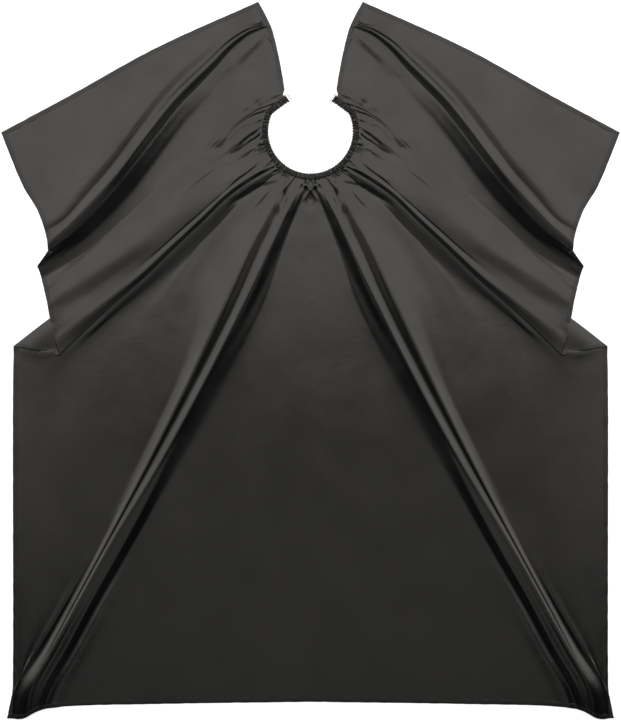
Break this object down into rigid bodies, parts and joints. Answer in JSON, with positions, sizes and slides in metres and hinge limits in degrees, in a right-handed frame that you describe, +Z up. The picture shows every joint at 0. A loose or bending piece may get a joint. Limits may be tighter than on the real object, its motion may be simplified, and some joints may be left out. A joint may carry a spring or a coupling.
{
  "type": "barber cape",
  "caption": "Hairdressing cape laid flat, with a gathered elastic neckband, a back slit, stitched hems and a wire hook and eye.",
  "frame": {"origin": "on the surface the cape lies on, under the middle of its bounding box", "axes": "+Z up out of the laid cape's face, +Y towards the slit at the back of the neck, +X to the side"},
  "size_m": [1.1124, 1.2886, 0.0268],
  "materials": {
    "satin": "satin",
    "hem_satin": "satin",
    "casing_satin": "satin",
    "elastic": "matte",
    "sewing_thread": "satin",
    "wire": "polished"
  },
  "bodies": {
    "cape": {"bottom_hem": "hem_satin", "bottom_thread": "sewing_thread", "cape_panel": "satin", "left_back_hem": "hem_satin", "left_back_thread": "sewing_thread", "left_bar_tack": "sewing_thread", "left_end_loop": "casing_satin", "left_side_lower_hem": "hem_satin", "left_side_lower_thread": "sewing_thread", "left_side_middle_hem": "hem_satin", "left_side_middle_thread": "sewing_thread", "left_side_upper_hem": "hem_satin", "left_side_upper_thread": "sewing_thread", "left_top_hem": "hem_satin", "left_top_thread": "sewing_thread", "left_turned_hem": "hem_satin", "neck_elastic": "elastic", "neckband_casing": "casing_satin", "neckband_gather_thread": "sewing_thread", "right_back_hem": "hem_satin", "right_back_thread": "sewing_thread", "right_bar_tack": "sewing_thread", "right_end_loop": "casing_satin", "right_side_lower_hem": "hem_satin", "right_side_lower_thread": "sewing_thread", "right_side_middle_hem": "hem_satin", "right_side_middle_thread": "sewing_thread", "right_side_upper_hem": "hem_satin", "right_side_upper_thread": "sewing_thread", "right_top_hem": "hem_satin", "right_top_thread": "sewing_thread", "right_turned_hem": "hem_satin"},
    "hook": {"wire_hook": "wire"},
    "eye": {"wire_eye": "wire"}
  },
  "joints": [
    {"name": "hook_swing", "type": "hinge", "parent": "cape", "child": "hook", "pos_m": [-0.04281, 0.46968, 0.00255], "axis": [0.5832, -0.8123, 0], "range_deg": [-75, 105]},
    {"name": "eye_swing", "type": "hinge", "parent": "cape", "child": "eye", "pos_m": [0.04281, 0.46968, 0.00255], "axis": [0.5832, 0.8123, 0], "range_deg": [-75, 105]}
  ]
}
